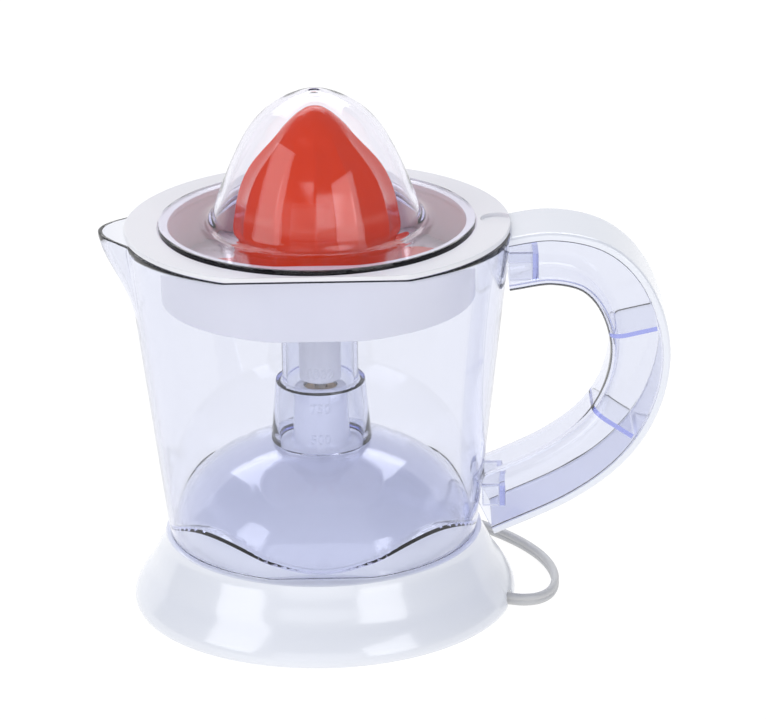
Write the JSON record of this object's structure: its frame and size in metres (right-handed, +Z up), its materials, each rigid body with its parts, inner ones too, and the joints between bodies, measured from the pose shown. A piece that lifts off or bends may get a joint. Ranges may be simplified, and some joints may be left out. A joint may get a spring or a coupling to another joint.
{
  "type": "electric citrus juicer",
  "caption": "Electric citrus press: ribbed cone under a clear dome, slotted strainer, clear spouted jug with a loop handle, on a flared motor base with its lead.",
  "frame": {"origin": "middle of the footprint of the object without its lead, on the surface that it stands on", "axes": "+Z up, +X towards the handle, -X towards the spout, -Y is the flat front of the jug"},
  "size_m": [0.2431, 0.247, 0.23],
  "materials": {
    "white_gloss": "smooth gloss white moulding",
    "white_satin": "satin white moulding",
    "gear_plastic": "natural acetal",
    "clear_lavender": "clear plastic with a faint lavender tint",
    "orange": "semi-gloss orange moulding",
    "steel": "bright steel",
    "bronze": "sintered bronze",
    "laminated_steel": "stacked steel laminations",
    "copper_winding": "enamelled copper wire",
    "black_plastic": "black moulding",
    "ferrite": "sintered ferrite",
    "rubber": "soft grey rubber",
    "grey_cord": "light grey flexible plastic"
  },
  "bodies": {
    "base": {"base_housing": "white_gloss", "base_plate": "white_satin", "base_screw_1": "steel", "base_screw_2": "steel", "base_screw_3": "steel", "plug_blade_1": "steel", "plug_blade_2": "steel", "bush_bottom": "bronze", "bush_top": "bronze", "coil_front": "copper_winding", "coil_rear": "copper_winding", "bobbin_front": "black_plastic", "bobbin_rear": "black_plastic", "foot_1": "rubber", "foot_2": "rubber", "foot_3": "rubber", "foot_4": "rubber", "cord": "grey_cord", "cord_coil": "grey_cord", "cord_gland": "grey_cord", "plug_body": "grey_cord", "gear_frame": "white_satin", "gearbox_cover": "white_satin", "stator_core": "laminated_steel", "gear_axle": "steel", "micro_switch": "black_plastic", "lever_pin": "steel"},
    "press_cup": {"thrust_cup": "gear_plastic", "return_spring": "steel"},
    "drive": {"drive_shaft": "steel", "drive_spindle": "gear_plastic"},
    "output_wheel": {"output_gear": "gear_plastic"},
    "middle_wheel": {"middle_gear": "gear_plastic"},
    "rotor": {"rotor_magnet": "ferrite", "rotor_shaft": "steel", "rotor_pinion": "gear_plastic"},
    "lever": {"switch_lever": "steel"},
    "plunger": {"switch_plunger": "black_plastic"},
    "jug_body": {"jug": "clear_lavender", "handle_frame": "clear_lavender", "handle_cover": "white_gloss"},
    "strainer_body": {"strainer": "white_satin"},
    "sweeper_body": {"pulp_sweeper": "orange"},
    "reamer_body": {"reamer": "orange"},
    "cover_body": {"dust_cover": "clear_lavender"}
  },
  "joints": [
    {"name": "gear_train", "type": "hinge", "parent": "base", "child": "middle_wheel", "pos_m": [-0.04948, 0.01879, 0.05], "axis": [0, 0, 1], "continuous": true},
    {"name": "rotor_spin", "type": "hinge", "parent": "base", "child": "rotor", "pos_m": [-0.06628, 0, 0.03], "axis": [0, 0, 1], "continuous": true},
    {"name": "output_spin", "type": "hinge", "parent": "base", "child": "output_wheel", "pos_m": [-0.02825, 0, 0.056], "axis": [0, 0, 1], "continuous": true},
    {"name": "shaft_press", "type": "slide", "parent": "base", "child": "press_cup", "axis": [0, 0, 1], "range_m": [-0.0025, 0], "stiffness_N_per_m": 350, "springref_m": 0.004, "deforming": ["return_spring"]},
    {"name": "shaft_spin", "type": "hinge", "parent": "press_cup", "child": "drive", "pos_m": [-0.02825, 0, 0.08], "axis": [0, 0, 1], "continuous": true},
    {"name": "lever_tilt", "type": "hinge", "parent": "base", "child": "lever", "pos_m": [0.00975, 0, 0.0361], "axis": [0, 1, 0], "range_deg": [-7, 0]},
    {"name": "plunger_slide", "type": "slide", "parent": "base", "child": "plunger", "axis": [0, 0, 1], "range_m": [-0.0012, 0]},
    {"name": "jug_lift", "type": "slide", "parent": "base", "child": "jug_body", "axis": [0, 0, 1], "range_m": [0, 0.14]},
    {"name": "strainer_lift", "type": "slide", "parent": "jug_body", "child": "strainer_body", "axis": [0, 0, 1], "range_m": [0, 0.06]},
    {"name": "sweeper_spin", "type": "hinge", "parent": "strainer_body", "child": "sweeper_body", "pos_m": [-0.02825, 0, 0.15], "axis": [0, 0, 1], "continuous": true},
    {"name": "reamer_press", "type": "slide", "parent": "sweeper_body", "child": "reamer_body", "axis": [0, 0, 1], "range_m": [-0.0025, 0]},
    {"name": "cover_lift", "type": "slide", "parent": "strainer_body", "child": "cover_body", "axis": [0, 0, 1], "range_m": [0, 0.07]}
  ],
  "couplings": [
    {"joint": "rotor_spin", "follows": "gear_train", "ratio": -6},
    {"joint": "output_spin", "follows": "gear_train", "ratio": -0.16667},
    {"joint": "shaft_spin", "follows": "gear_train", "ratio": -0.16667},
    {"joint": "sweeper_spin", "follows": "gear_train", "ratio": -0.16667},
    {"joint": "reamer_press", "follows": "shaft_press", "ratio": 1},
    {"joint": "lever_tilt", "follows": "shaft_press", "rad_per_m": 33.898},
    {"joint": "plunger_slide", "follows": "shaft_press", "ratio": 0.322}
  ]
}
